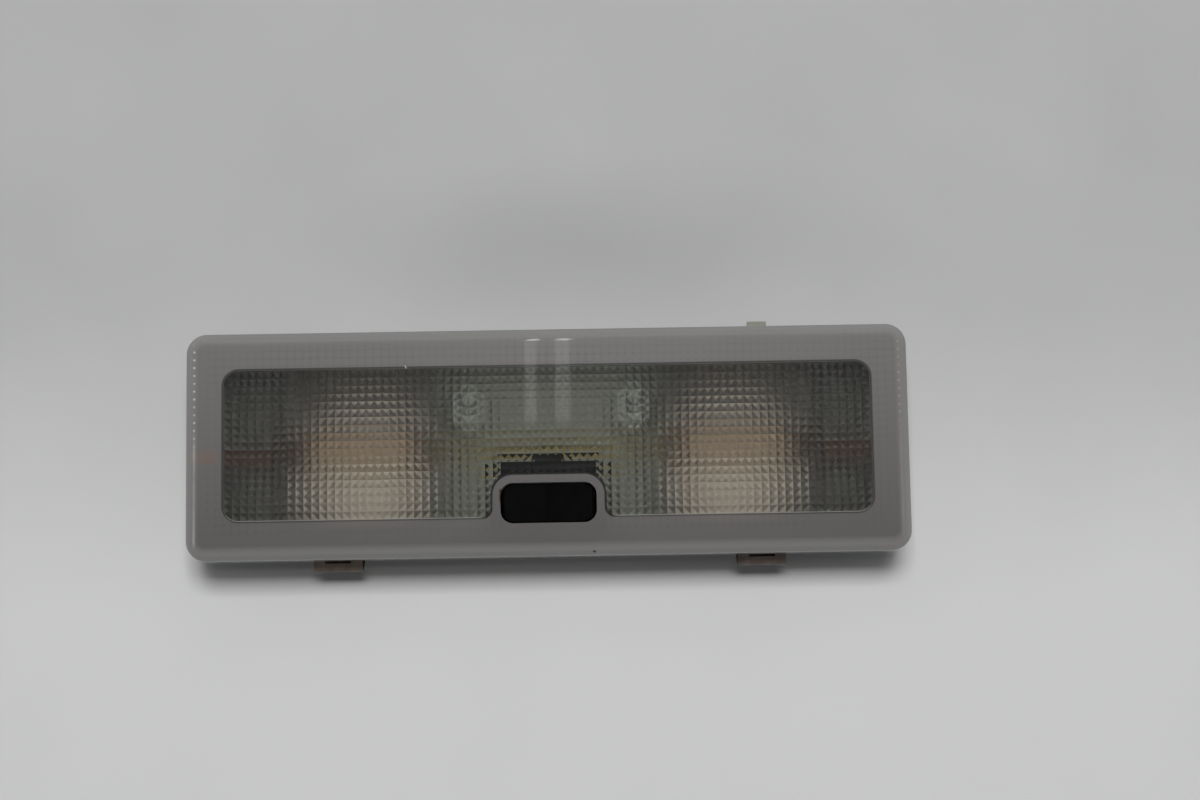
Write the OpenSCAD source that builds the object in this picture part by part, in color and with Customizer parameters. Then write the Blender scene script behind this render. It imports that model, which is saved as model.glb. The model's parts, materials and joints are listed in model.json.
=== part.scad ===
// Oblong interior light: clear prismatic lens on a moulded housing, two tubular bulbs and a rocker switch.
// X runs along the light, Y across it towards the side with the locating tab, and Z out of the lens.
// The origin is the middle of the plane where the rim of the lens meets the headliner.

/* [Lens] */
// Length of the lens
lens_l = 192; // [176:1:210]
// Width of the lens
lens_w = 60.6; // [58:0.2:70]
// Height of the lens face above the headliner
lens_h = 11; // [10:0.5:14]
// Thickness of the lens skirt
lens_wall = 2; // [1.6:0.1:2.6]
// Thickness of the lens face
face_t = 2.2; // [1.6:0.1:2.6]
// Corner radius of the lens seen from the front
lens_corner_r = 5.5; // [4.5:0.1:9]
// Radius of the lens edge towards the front
lens_edge_r = 3.5; // [2:0.1:4.2]
// Width of the frosted border round the clear window
border = 10.4; // [9.8:0.1:12]
// Corner radius of the window
window_r = 4; // [2:0.1:6]
// Depth of the window below the frosted border
window_step = 0.25; // [0.1:0.05:0.6]
// Target spacing of the prisms
prism_pitch = 2.1; // [1.9:0.05:3.5]
// Height of each prism
prism_h = 0.6; // [0.3:0.05:0.8]
// Clearance between the lens skirt and the housing rim
lens_fit = 0.25; // [0.15:0.05:0.4]

/* [Housing] */
// Distance that the lens stands past the tray all round
ledge = 6; // [5.5:0.1:6.5]
// Depth of the tray behind the headliner
tray_depth = 20; // [19:0.5:28]
// Wall thickness of the housing
wall = 1.6; // [1.2:0.1:2]
// Corner radius of the tray
tray_r = 4; // [2.5:0.1:6]
// Height of the rim that the lens fits over
rim_h = 5; // [4:0.1:6]
// Half length of the raised middle platform
platform_x = 26; // [25.2:0.1:28]
// Depth of the platform behind the headliner
platform_z = 6; // [5:0.1:7]
// Width of the locating tab
tab_w = 5; // [4:0.1:8]
// Reach of the locating tab past the lens edge
tab_reach = 2.8; // [1:0.1:6]
// Place of the tab and of the spring clips along the light
grip_x = 57; // [50:0.5:66]
// Thickness of headliner that the tab and clips hold
headliner_t = 2.5; // [2:0.1:4]

/* [Bulbs] */
// Room between the outer tip of a bulb and the end wall of the tray
bulb_end_room = 17.9; // [17.2:0.1:18.6]
// Room between the inner tip of a bulb and the middle platform
bulb_inner_room = 3.5; // [3.3:0.1:4.5]
// Depth of the bulb axis behind the headliner
bulb_z = 4; // [3.5:0.1:4.5]
// Diameter of the bulb glass
glass_d = 10.5; // [9:0.1:11]
// Wall thickness of the bulb glass
glass_t = 0.7; // [0.5:0.05:1]
// Diameter of the bulb caps
cap_d = 7; // [6.6:0.1:7.6]
// Diameter of the small end of a cap
cap_tip_d = 2.6; // [2:0.1:3]
// Distance of the reflector ends inside the bulb tips
reflector_inset = 2.3; // [2.2:0.1:3.5]
// Clearance between a reflector and the tray wall
reflector_gap = 1.1; // [0.6:0.1:1.4]
// Thickness of the reflector sheet
reflector_t = 0.6; // [0.4:0.05:0.8]
// Thickness of the brass strips
strip_t = 0.5; // [0.4:0.05:0.7]
// Width of the brass strips
strip_w = 4.6; // [4:0.1:5]
// Width of the leaf that grips a bulb cap
leaf_w = 9; // [8:0.1:11]
// Distance of the earth strips from the bulb axis, towards the switch side
earth_offset = 1.7; // [0:0.1:2.1]

/* [Switch] */
// Length of the switch opening
opening_l = 25.4; // [24.6:0.1:27]
// Width of the switch opening
opening_w = 10.7; // [10.2:0.1:11.2]
// Corner radius of the switch opening
opening_r = 3.3; // [2:0.1:4.5]
// Distance of the switch inside the lower edge of the window
switch_inset = 3.6; // [3.2:0.1:4]
// Width of the frosted ring round the opening
ring_w = 2.6; // [2:0.1:3]
// Depth of the rocker pivot below the lens face
pivot_depth = 5.5; // [5:0.1:6]
// Diameter of the rocker trunnions
trunnion_d = 3; // [2:0.1:3.4]
// Running clearance of the trunnions, on the radius
run_gap = 0.05; // [0.02:0.01:0.1]
// Gap between the rocker and the opening
rocker_gap = 0.4; // [0.3:0.05:0.5]
// Swing of the rocker to each side
rocker_swing = 8; // [5:0.5:9]
// Radius from the pivot to the tip of the plunger
plunger_reach = 8.6; // [8.2:0.1:9]
// Diameter of the plunger
plunger_d = 3; // [2.6:0.1:3.2]

/* [Fixings] */
// Width of a spring clip
clip_w = 13; // [10:0.1:16]
// Thickness of the clip steel
clip_t = 0.6; // [0.5:0.05:0.9]
// Reach of the clips past the lens edge
clip_reach = 2.5; // [1:0.1:4]
// Width of a connector blade
blade_w = 4.8; // [4:0.1:6.3]
// Thickness of a connector blade
blade_t = 0.8; // [0.6:0.05:1]
// Distance between connector blades
blade_pitch = 6.2; // [6:0.1:7]
// Outer length of each lens stud
stud_l = 10; // [7:0.1:12]
// Outer width of each lens stud
stud_w = 6; // [5:0.1:6.2]
// Distance of the lens studs from the middle
stud_x = 22; // [21.6:0.1:22.4]
// Distance of the middle between the lens studs from the middle of the light
stud_shift = 0.8; // [-1:0.1:1]
// Place of the lens studs across the light
stud_y = 9.9; // [9:0.1:13]
// Gap between the lens studs and the prisms of the lens
stud_gap = 4; // [0.2:0.1:6]

/* [Hidden] */
$fn = 64;
// Depth of a cut past the surface that it opens
over = 1;
// Overlap where a feature joins the wall that carries it
bite = 0.4;
// Small gap between pieces that lie on each other
seat_gap = 0.05;
// Gap round a piece that stands in a hole or between rails
hole_gap = 0.2;

lens_inner_z = lens_h - face_t;
window_l = lens_l - 2 * border;
window_w = lens_w - 2 * border;
tray_l = lens_l - 2 * ledge;
tray_w = lens_w - 2 * ledge;
tray_end = tray_l / 2 - wall;
skirt_l = lens_l - 2 * lens_wall;
skirt_w = lens_w - 2 * lens_wall;
rim_l = skirt_l - 2 * lens_fit;
rim_w = skirt_w - 2 * lens_fit;
rim_r = lens_corner_r - lens_wall - lens_fit;
flange_t = wall + 0.2;
floor_z = wall - tray_depth;

// Catches on the lens skirt and their pockets in the rim
catch_l = 8;
catch_h = 0.9;
catch_z = 2.6;
catch_d = 0.5;
catch_pitch = 0.24 * lens_l;
catch_x = [for (k = [-1.5:1.5]) k * catch_pitch];

// Place of the switch, and of the strip and bulbs beside it
switch_y = switch_inset - window_w / 2;
switch_front = 11.7;
switch_front_y = switch_y + switch_front;
latch_out = 1.2;
bulb_y = switch_front_y + latch_out + 2 * seat_gap + strip_w / 2;

// Prism grid, left out over the switch and its collar
prism_pad = 0.15;
prism_tip_z = lens_inner_z - prism_pad - prism_h;
prism_cols = 2 * round(window_l / prism_pitch / 2);
prism_rows = round(window_w / prism_pitch);
prism_dx = window_l / prism_cols;
prism_dy = window_w / prism_rows;
collar_t = 1.2;
collar_drop = 1;
prism_clear = 0.1;
notch_half = ceil((opening_l / 2 + collar_t + prism_clear) / prism_dx);
notch_rows = ceil((switch_y + opening_w / 2 + collar_t + prism_clear + window_w / 2) / prism_dy);

// Bulb profile along its own axis
cap_t = 0.25;
cap_l = 6.3;
cap_cone_l = 3;
cap_end_t = 0.4;
bare_neck_l = 0.2;
shoulder_l = 2.2;
neck_d = cap_d - 2 * (cap_t + seat_gap);
bulb_l = tray_end - bulb_end_room - bulb_inner_room - platform_x;
bulb_x = platform_x + bulb_inner_room + bulb_l / 2;
reflector_l = bulb_l - 2 * reflector_inset;
cap_start = bulb_l / 2 - cap_l;
neck_x = cap_start + 1.3;
neck_start = cap_start - bare_neck_l;
shoulder_x = neck_start - shoulder_l;
cap_cone_x = bulb_l / 2 - cap_cone_l;

// Leaf that grips a cap
leaf_x = cap_cone_x + 1.1;
leaf_hole_r = cap_radius(leaf_x) + seat_gap;
leaf_drop = 8.5;
leaf_foot_z = -bulb_z - leaf_drop;
leaf_top = 4.5;
leaf_lip = 1.2;

// Reflector
reflector_top = -0.2;
reflector_r = tray_w / 2 - wall - reflector_t - reflector_gap;
reflector_axis_z = floor_z + seat_gap + reflector_t + reflector_r;
reflector_slope = 1.2;
notch_gap = 1.8;
cap_notch_r = cap_d / 2 + notch_gap;

// Place of the outer leaves, of the rise beside them and of the ribs that carry the earth strips
outer_leaf_x = bulb_x + leaf_x + strip_t / 2;
inner_leaf_x = bulb_x - leaf_x - strip_t / 2;
rise_share = 0.23;
rise_x = outer_leaf_x + rise_share * (tray_end - outer_leaf_x);
rib_t = 1.2;
rib_gap = 0.25;
rib_x = rise_x + strip_t / 2 + rib_gap + rib_t / 2;
rib_end_share = 0.22;
rib_end_x = tray_end - rib_end_share * (tray_end - rib_x);

// Rocker
pivot_z = lens_h - pivot_depth;
rocker_w = opening_w - 2 * rocker_gap;
rocker_r = opening_l / 2 - rocker_gap / 2;
rocker_sink = 0.6;
rocker_top = pivot_depth - rocker_sink;
rocker_skirt = 2.5;
rocker_wall = 1.5;
trunnion_l = 1.35;
stem_wall = 1.1;
stem_r = plunger_d / 2 + stem_wall;
stem_drop = 6.4;
plunger_l = 4.2;
plunger_bore_top = 1.4;

// Switch body
switch_wall = 0.5;
switch_l = 2 * (rocker_r + rocker_gap + switch_wall);
switch_back_y = 0.6 - tray_w / 2 + wall;
latch_w = 7.2;
latch_h = 0.8;
latch_gap = 0.75;
switch_top = prism_tip_z - latch_gap - latch_h;
switch_bottom = -12;
switch_neck_inset = 2;
switch_neck_l = switch_l - 2 * switch_neck_inset;
collar_end = 2.6;
collar_side = 3.8;
collar_gap = 0.3;
well_gap = 0.15;
well_room = 0.6;
well_shelf = rocker_skirt + rocker_r * sin(rocker_swing) + well_room;
pit_room = 3.6;
pit_half = plunger_reach * sin(rocker_swing) + pit_room;

// Contacts of the switch, on a ring round the pivot
contact_gap = 0.35;
contact_r = plunger_reach + contact_gap;
contact_t = 0.5;
contact_w = 4;
contact_pitch = rocker_swing + 1.5;
contact_space = 2.5;
contact_span = contact_pitch - contact_space;
tail_w = 2.8;
tail_out = 3;

// Connector
blade_room = 1.3;
blade_end = -tray_depth + 3;
shroud_l = 2 * blade_pitch + blade_w + 2 * blade_room;
shroud_w = 10;
shroud_y = 13;
shroud_t = 1.2;

// Spring clip, and the top of what stands beside the tray below the headliner
clip_leg_y = -tray_w / 2 - seat_gap - clip_t / 2;
clip_out_y = -lens_w / 2 - clip_reach + clip_t / 2;
clip_bend = 1.6;
nib = 3;
nib_z = -tray_depth / 2;
side_top = -headliner_t - 0.5;

function cap_radius(x) = cap_d / 2 - (x - cap_cone_x) * (cap_d - cap_tip_d) / 2 / (bulb_l / 2 - cap_cone_x);

// Unit vector of the stretch of a path that starts at point i
function way(path, i) = (path[i + 1] - path[i]) / norm(path[i + 1] - path[i]);
// Corner of a strip of thickness t, moved off point i of its middle line to side s
function mitre(path, i, t, s) =
    let (a = way(path, max(i - 1, 0)), b = way(path, min(i, len(path) - 2)))
    let (n = [-a[1] - b[1], a[0] + b[0]])
    path[i] + s * t * n / (1 + a * b) / 2;

// Outline of a bent strip that follows a path
module strip_outline(path, t) {
    last = len(path) - 1;
    polygon(concat(
        [for (i = [0:last]) mitre(path, i, t, 1)],
        [for (i = [last:-1:0]) mitre(path, i, t, -1)]));
}

// Rectangle with rounded corners, centred
module round_rect(l, w, r) {
    square([l - 2 * r, w], center = true);
    square([l, w - 2 * r], center = true);
    for (x = [-1, 1], y = [-1, 1])
        translate([x * (l / 2 - r), y * (w / 2 - r)]) circle(r);
}

// Plate with rounded corners between two heights
module plate(l, w, r, z0, z1) {
    translate([0, 0, z0]) linear_extrude(z1 - z0) round_rect(l, w, r);
}

// Box given by its lowest and highest corners
module block(low, high) {
    translate(low) cube(high - low);
}

// Slab whose front edge is rounded all the way round
module soft_slab(l, w, h, corner, edge) {
    hull() for (x = [-1, 1], y = [-1, 1])
        translate([x * (l / 2 - corner), y * (w / 2 - corner), 0])
            rotate_extrude($fn = 48) {
                square([corner, h - edge]);
                square([corner - edge, h]);
                translate([corner - edge, h - edge]) intersection() {
                    circle(edge, $fn = 48);
                    square(edge);
                }
            }
}

// Outline of the switch opening, grown by a margin
module opening_outline(grow) {
    translate([0, switch_y]) round_rect(opening_l + 2 * grow, opening_w + 2 * grow, opening_r + grow);
}

// Field of square pyramids that point into the light
module prisms() {
    z_base = lens_inner_z - prism_pad;
    a = prism_cols / 2 - notch_half;
    b = prism_cols / 2 + notch_half;
    m = notch_rows;
    edge = concat(
        [for (i = [0:a]) [i, 0]], [for (j = [1:m]) [a, j]],
        [for (i = [a + 1:b]) [i, m]], [for (j = [m - 1:-1:0]) [b, j]],
        [for (i = [b + 1:prism_cols]) [i, 0]], [for (j = [1:prism_rows]) [prism_cols, j]],
        [for (i = [prism_cols - 1:-1:0]) [i, prism_rows]], [for (j = [prism_rows - 1:-1:1]) [0, j]]);
    corners = [for (i = [0:prism_cols], j = [0:prism_rows])
        [i * prism_dx - window_l / 2, j * prism_dy - window_w / 2, z_base]];
    tips = [for (i = [0:prism_cols - 1], j = [0:prism_rows - 1])
        [(i + 0.5) * prism_dx - window_l / 2, (j + 0.5) * prism_dy - window_w / 2, z_base - prism_h]];
    roof = [for (e = edge)
        [e[0] * prism_dx - window_l / 2, e[1] * prism_dy - window_w / 2, lens_inner_z + bite]];
    tip0 = len(corners);
    roof0 = tip0 + len(tips);
    ends = len(edge);
    facets = [for (i = [0:prism_cols - 1], j = [0:prism_rows - 1])
        if (i < a || i >= b || j >= m)
            let (c = i * (prism_rows + 1) + j, d = c + prism_rows + 1, tip = tip0 + i * prism_rows + j)
            each [[c, d, tip], [d, d + 1, tip], [d + 1, c + 1, tip], [c + 1, c, tip]]];
    sides = [for (k = [0:ends - 1])
        let (n = (k + 1) % ends)
        [edge[k][0] * (prism_rows + 1) + edge[k][1], roof0 + k, roof0 + n,
            edge[n][0] * (prism_rows + 1) + edge[n][1]]];
    polyhedron(concat(corners, tips, roof), concat(facets, sides, [[for (k = [ends - 1:-1:0]) roof0 + k]]));
}

// Outline of the polished window, which leaves the ring round the switch opening standing
module window_outline() {
    foot_r = 2.2;
    ring_x = opening_l / 2 + ring_w;
    difference() {
        round_rect(window_l, window_w, window_r);
        opening_outline(ring_w);
        translate([-ring_x, -window_w]) square([2 * ring_x, window_w + switch_y]);
        for (s = [0, 1]) mirror([s, 0]) translate([ring_x, -window_w / 2]) difference() {
            translate([-bite, -bite]) square(foot_r + bite);
            translate([foot_r, foot_r]) circle(foot_r);
        }
    }
}

module lens() color([0.86, 0.87, 0.86, 0.6]) {
    difference() {
        union() {
            difference() {
                soft_slab(lens_l, lens_w, lens_h, lens_corner_r, lens_edge_r);
                plate(skirt_l, skirt_w, lens_corner_r - lens_wall, -over, lens_inner_z);
            }
            translate([0, 0, lens_inner_z - collar_drop])
                linear_extrude(collar_drop + bite) opening_outline(collar_t);
        }
        translate([0, 0, lens_h - window_step]) linear_extrude(over) window_outline();
        translate([0, 0, -over]) linear_extrude(lens_h + 2 * over) opening_outline(0);
    }
    prisms();
    for (x = catch_x, s = [0, 1])
        mirror([0, s, 0]) translate([x - catch_l / 2, skirt_w / 2, catch_z]) hull() {
            translate([0, 0, -catch_h]) cube([catch_l, bite, 2 * catch_h]);
            translate([0, -catch_d, 0]) cube([catch_l, bite, catch_h / 2]);
        }
}

// Frame that stands on the tray floor across the light
module cross_rib(x) {
    sill = 3;
    rib_sill_z = -tray_w / 4;
    difference() {
        block([x - rib_t / 2, -tray_w / 2 + wall - bite, floor_z - bite],
            [x + rib_t / 2, tray_w / 2 - wall + bite, flange_t]);
        block([x - rib_t, bulb_y + strip_w, rib_sill_z],
            [x + rib_t, tray_w / 2 - wall - sill, flange_t + over]);
        block([x - rib_t, sill + wall - tray_w / 2, rib_sill_z],
            [x + rib_t, bulb_y - strip_w, flange_t + over]);
    }
}

// Guide rails and nib that hold one spring clip
module clip_seat(x) {
    rail_t = 1.4;
    rail_h = 2.2;
    rail_foot = 3;
    nib_out = 0.6;
    for (s = [-1, 1]) translate([x + s * (clip_w / 2 + hole_gap + rail_t / 2), 0, 0])
        block([-rail_t / 2, -tray_w / 2 - rail_h, rail_foot - tray_depth],
            [rail_t / 2, -tray_w / 2 + bite, side_top]);
    block([x - nib / 2, -tray_w / 2 - clip_t - nib_out, nib_z - nib / 2],
        [x + nib / 2, -tray_w / 2 + bite, nib_z + nib / 2]);
}

// Tab that hooks behind the edge of the headliner cut-out
module locating_tab() {
    tab_t = 2;
    flare = 1.6;
    gusset_t = 1.2;
    gusset_h = 8;
    gusset_inset = 3;
    reach = lens_w / 2 + tab_reach;
    root = tray_w / 2 - bite;
    under = -headliner_t - tab_t + bite;
    translate([grip_x, 0, -headliner_t - tab_t]) linear_extrude(tab_t) polygon([
        [-tab_w / 2, root], [tab_w / 2 + flare, root], [tab_w / 2, reach], [-tab_w / 2, reach]]);
    for (x = [grip_x - tab_w / 2, grip_x + tab_w / 2 - gusset_t])
        translate([x, 0, 0]) rotate([90, 0, 90]) linear_extrude(gusset_t)
            polygon([[root, under], [reach - gusset_inset, under], [root, -headliner_t - gusset_h]]);
}

// Hole in the platform for the neck of the switch
module switch_hole() {
    block([-switch_neck_l / 2 - hole_gap, switch_back_y + switch_neck_inset - hole_gap, -tray_depth],
        [switch_neck_l / 2 + hole_gap, switch_front_y - switch_neck_inset + hole_gap, 0]);
}

module housing() color([0.56, 0.57, 0.52]) {
    catch_room = 0.5;
    shroud_lip = 0.5;
    difference() {
        union() {
            plate(tray_l, tray_w, tray_r, -tray_depth, bite);
            plate(rim_l, rim_w, rim_r, 0, rim_h);
        }
        plate(rim_l - 2 * wall, rim_w - 2 * wall, rim_r - wall / 2, flange_t, rim_h + over);
        for (s = [0, 1]) mirror([s, 0, 0])
            block([platform_x, -tray_w / 2 + wall, floor_z], [tray_end, tray_w / 2 - wall, rim_h]);
        block([-platform_x - over, -tray_w / 2 + wall, -platform_z],
            [platform_x + over, tray_w / 2 - wall, rim_h]);
        block([wall - platform_x, -tray_w / 2 + wall, -tray_depth - over],
            [platform_x - wall, tray_w / 2 - wall, -platform_z - wall]);
        switch_hole();
        for (x = catch_x, s = [-1, 1])
            translate([x, s * rim_w / 2, catch_z])
                cube([catch_l + 2 * catch_room, 2 * catch_d - lens_fit, catch_h + catch_room], center = true);
    }
    for (x = [-1, 1]) {
        cross_rib(x * rib_x);
        cross_rib(x * rib_end_x);
        clip_seat(x * grip_x);
    }
    locating_tab();
    difference() {
        block([-shroud_l / 2 - shroud_t, shroud_y - shroud_w / 2 - shroud_t, shroud_lip - tray_depth],
            [shroud_l / 2 + shroud_t, shroud_y + shroud_w / 2 + shroud_t, -platform_z - wall + bite]);
        block([-shroud_l / 2, shroud_y - shroud_w / 2, -tray_depth],
            [shroud_l / 2, shroud_y + shroud_w / 2, -platform_z - wall]);
    }
}

// Trough whose ends slope, as one solid up to a given height
module trough(r, half, top) {
    foot = half - reflector_slope;
    intersection() {
        translate([0, 0, reflector_axis_z]) rotate([0, 90, 0])
            cylinder(r = r, h = 2 * reflector_l, center = true);
        rotate([90, 0, 0]) linear_extrude(tray_w, center = true)
            polygon([[-half, top], [-foot, -tray_depth], [foot, -tray_depth], [half, top]]);
    }
}

// Reflector for one bulb
module reflector(side) color([0.78, 0.76, 0.72]) translate([side * bulb_x, 0, 0]) {
    difference() {
        trough(reflector_r + reflector_t, reflector_l / 2, reflector_top);
        trough(reflector_r, reflector_l / 2 - reflector_t, reflector_top + over);
        rotate([90, 0, 90]) linear_extrude(reflector_l * 2, center = true) translate([bulb_y, -bulb_z]) {
            circle(cap_notch_r);
            translate([-cap_notch_r, 0]) square([2 * cap_notch_r, bulb_z + over]);
        }
    }
}

// Solid turned about the axis of one bulb
module on_bulb_axis(side) {
    translate([side * bulb_x, bulb_y, -bulb_z]) rotate([0, 90, 0]) children();
}

// Half section of the bulb glass from the middle to one neck, shrunk by a margin
module glass_section(shrink) {
    core_r = glass_d / 2 - shoulder_l;
    corner_r = shoulder_l - shrink;
    square([glass_d / 2 - shrink, shoulder_x]);
    square([core_r, shoulder_x + corner_r]);
    square([neck_d / 2 - shrink, neck_x + shrink]);
    translate([core_r, shoulder_x]) intersection() {
        circle(corner_r);
        square(corner_r);
    }
}

module bulb_glass(side) color([0.9, 0.92, 0.9, 0.4]) on_bulb_axis(side) rotate_extrude()
    for (s = [0, 1]) mirror([0, s]) difference() {
        glass_section(0);
        glass_section(glass_t);
    }

module bulb_caps(side) color([0.72, 0.62, 0.42]) on_bulb_axis(side)
    for (s = [-1, 1]) mirror([0, 0, s < 0 ? 1 : 0]) rotate_extrude() polygon([
        [neck_d / 2 + seat_gap, cap_start], [cap_d / 2, cap_start], [cap_d / 2, cap_cone_x],
        [cap_tip_d / 2, bulb_l / 2], [0, bulb_l / 2], [0, neck_x + cap_end_t / 2],
        [neck_d / 2 + seat_gap, neck_x + cap_end_t / 2]]);

module filament(side) color([0.5, 0.5, 0.52]) on_bulb_axis(side) {
    coil_d = 0.9;
    coil_share = 0.68;
    wire_d = 0.4;
    cylinder(d = coil_d, h = 2 * coil_share * shoulder_x, center = true);
    cylinder(d = wire_d, h = 2 * neck_x + cap_end_t - 2 * seat_gap, center = true);
}

// Brass strip between two places across the light, bent along a path in the XZ plane
module bent_strip(path, width) {
    translate([0, bulb_y + width / 2, 0]) rotate([90, 0, 0])
        linear_extrude(width) strip_outline(path, strip_t);
}

// Leaf that grips one bulb cap, with its foot; toward is the side of the bulb
module cap_leaf(x, toward) {
    difference() {
        bent_strip([[x - toward * strip_w / 2, leaf_foot_z], [x, leaf_foot_z], [x, leaf_top - bulb_z],
            [x - toward * leaf_lip, leaf_top - bulb_z + leaf_lip]], leaf_w);
        translate([x, bulb_y, -bulb_z]) rotate([0, 90, 0])
            cylinder(r = leaf_hole_r, h = strip_t + 2 * over, center = true);
    }
}

module feed_strip() color([0.78, 0.64, 0.3]) {
    drop_x = platform_x + strip_t / 2 + seat_gap;
    level = strip_t / 2 + seat_gap - platform_z;
    for (s = [-1, 1]) {
        cap_leaf(s * inner_leaf_x, s);
        bent_strip([[s * inner_leaf_x, leaf_foot_z], [s * drop_x, leaf_foot_z],
            [s * drop_x, level], [0, level]], strip_w);
    }
}

// Strip from the outer end of a bulb to the end of the housing
module earth_strip(side, reach) color([0.72, 0.5, 0.28]) {
    level = flange_t + strip_t / 2 + seat_gap;
    mirror([side < 0 ? 1 : 0, 0, 0]) {
        cap_leaf(outer_leaf_x, -1);
        translate([0, -earth_offset, 0])
            bent_strip([[outer_leaf_x, leaf_foot_z], [rise_x, leaf_foot_z],
                [rise_x, level], [reach, level]], strip_w);
    }
}

// Puts a shape at the rocker's pivot, its plan in the XZ plane and its thickness along Y
module at_pivot(width) {
    translate([0, switch_y + width / 2, pivot_z]) rotate([90, 0, 0]) linear_extrude(width) children();
}

// Sector of a ring about the pivot, from one angle to another, measured from straight down
module ring_sector(r_in, r_out, from, to) {
    difference() {
        intersection() {
            circle(r_out);
            polygon([[0, 0], 2 * r_out * [sin(from), -cos(from)], 2 * r_out * [sin(to), -cos(to)]]);
        }
        circle(r_in);
    }
}

module switch_body() color([0.1, 0.1, 0.11]) {
    bore_r = trunnion_d / 2 + run_gap;
    pit_side = 1.2;
    well_w = rocker_w + 2 * well_gap;
    neck_back = switch_back_y + switch_neck_inset;
    difference() {
        union() {
            block([-switch_l / 2, switch_back_y, seat_gap - platform_z],
                [switch_l / 2, switch_front_y, switch_top]);
            block([-switch_neck_l / 2, neck_back, switch_bottom],
                [switch_neck_l / 2, switch_front_y - switch_neck_inset, 0]);
            translate([0, switch_y, 0])
                plate(opening_l + 2 * collar_end, opening_w + 2 * collar_side, opening_r + collar_end,
                    flange_t + collar_gap, lens_inner_z - collar_drop - collar_gap);
            block([-latch_w / 2, switch_front_y - 2 * latch_out, seat_gap - platform_z],
                [latch_w / 2, switch_front_y + latch_out, switch_top + latch_h]);
        }
        at_pivot(well_w) translate([-rocker_r - rocker_gap, -well_shelf])
            square([2 * (rocker_r + rocker_gap), well_shelf + lens_h]);
        at_pivot(contact_w + 2 * pit_side) intersection() {
            circle(contact_r + contact_t + seat_gap);
            translate([-pit_half, -2 * contact_r]) square([2 * pit_half, 2 * contact_r]);
        }
        translate([0, switch_y, pivot_z]) rotate([90, 0, 0])
            cylinder(r = bore_r, h = rocker_w + 2 * (trunnion_l + hole_gap), center = true);
        for (a = [-1, 0, 1]) contact_tail(a, 2 * seat_gap);
    }
}

// Tail of one switch contact, grown by a margin
module contact_tail(a, grow) {
    x = a * (contact_r + contact_t / 2) * sin(contact_pitch);
    top = pivot_z - (contact_r + contact_t / 2) * cos(contact_pitch);
    block([x - contact_t / 2 - grow, switch_y - tail_w / 2 - grow, switch_bottom - tail_out],
        [x + contact_t / 2 + grow, switch_y + tail_w / 2 + grow, top]);
}

// Fixed contact of the switch at one of its three positions
module switch_contact(a) color([0.78, 0.64, 0.3]) {
    middle = a * contact_pitch;
    at_pivot(contact_w) ring_sector(contact_r, contact_r + contact_t,
        middle - contact_span / 2, middle + contact_span / 2);
    contact_tail(a, 0);
}

module rocker() color([0.07, 0.07, 0.08]) {
    groove_w = 1.1;
    groove_z = pivot_z + rocker_top - 1.1;
    mark_l = 5.6;
    mark_d = 0.35;
    dip = 0.5;
    end_rise = 0.3;
    pocket_l = 5.2;
    pocket_top = 1.6;
    far = 2 * rocker_r;
    difference() {
        intersection() {
            at_pivot(rocker_w) difference() {
                circle(rocker_r);
                translate([-far, -rocker_skirt - 2 * far]) square(2 * far);
                polygon([[-far, rocker_top + end_rise], [0, rocker_top - dip], [far, rocker_top + end_rise],
                    [far, far], [-far, far]]);
            }
            translate([0, switch_y, 0]) plate(far, rocker_w, opening_r + rocker_gap, -lens_h, 2 * lens_h);
        }
        block([-groove_w / 2, switch_y - rocker_w, groove_z], [groove_w / 2, switch_y + rocker_w, lens_h]);
        for (s = [-1, 1]) {
            translate([s * rocker_r / 2, switch_y, pivot_z + rocker_top])
                cube([mark_l, mark_l, 2 * mark_d], center = true);
            translate([s * (rocker_r + stem_r) / 2, switch_y, pivot_z])
                block([-pocket_l / 2, rocker_wall - rocker_w / 2, -rocker_skirt - over],
                    [pocket_l / 2, rocker_w / 2 - rocker_wall, pocket_top]);
        }
        plunger_bore();
    }
    difference() {
        translate([0, switch_y, pivot_z - stem_drop]) cylinder(r = stem_r, h = stem_drop + bite);
        plunger_bore();
    }
    for (s = [-1, 1])
        translate([0, switch_y + s * (rocker_w / 2 + (trunnion_l - bite) / 2), pivot_z]) rotate([90, 0, 0])
            cylinder(d = trunnion_d, h = trunnion_l + bite, center = true);
}

// Blind bore in the stem of the rocker for the plunger and its spring
module plunger_bore() {
    translate([0, switch_y, pivot_z - stem_drop - over])
        cylinder(d = plunger_d + 2 * run_gap, h = stem_drop + over + plunger_bore_top);
}

module contact_plunger() color([0.8, 0.66, 0.34])
    translate([0, switch_y, pivot_z - plunger_reach]) rotate_extrude() {
        intersection() {
            translate([0, plunger_d / 2]) circle(d = plunger_d);
            square([plunger_d, plunger_d / 2]);
        }
        translate([0, plunger_d / 2]) square([plunger_d / 2, plunger_l - plunger_d / 2]);
    }

// Coil spring that stands on z = 0
module coil(r, wire_r, height, turns) {
    steps = 14;
    ring = 6;
    count = round(turns * steps);
    points = [for (k = [0:count], a = [0:ring - 1])
        let (turn = 360 * k / steps, out = r + wire_r * cos(360 * a / ring))
        let (rise = wire_r + (height - 2 * wire_r) * k / count)
        [out * cos(turn), out * sin(turn), rise + wire_r * sin(360 * a / ring)]];
    skin = [for (k = [0:count - 1], a = [0:ring - 1])
        let (b = (a + 1) % ring)
        [k * ring + a, k * ring + b, (k + 1) * ring + b, (k + 1) * ring + a]];
    polyhedron(points, concat(skin,
        [[for (a = [ring - 1:-1:0]) a]], [[for (a = [0:ring - 1]) count * ring + a]]));
}

module plunger_spring() color([0.6, 0.6, 0.62]) {
    wire_r = 0.18;
    coil_r = plunger_d / 2 - 0.3;
    turns = 5;
    low = plunger_l - plunger_reach + seat_gap;
    translate([0, switch_y, pivot_z + low]) coil(coil_r, wire_r, plunger_bore_top - low - seat_gap, turns);
}

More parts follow.
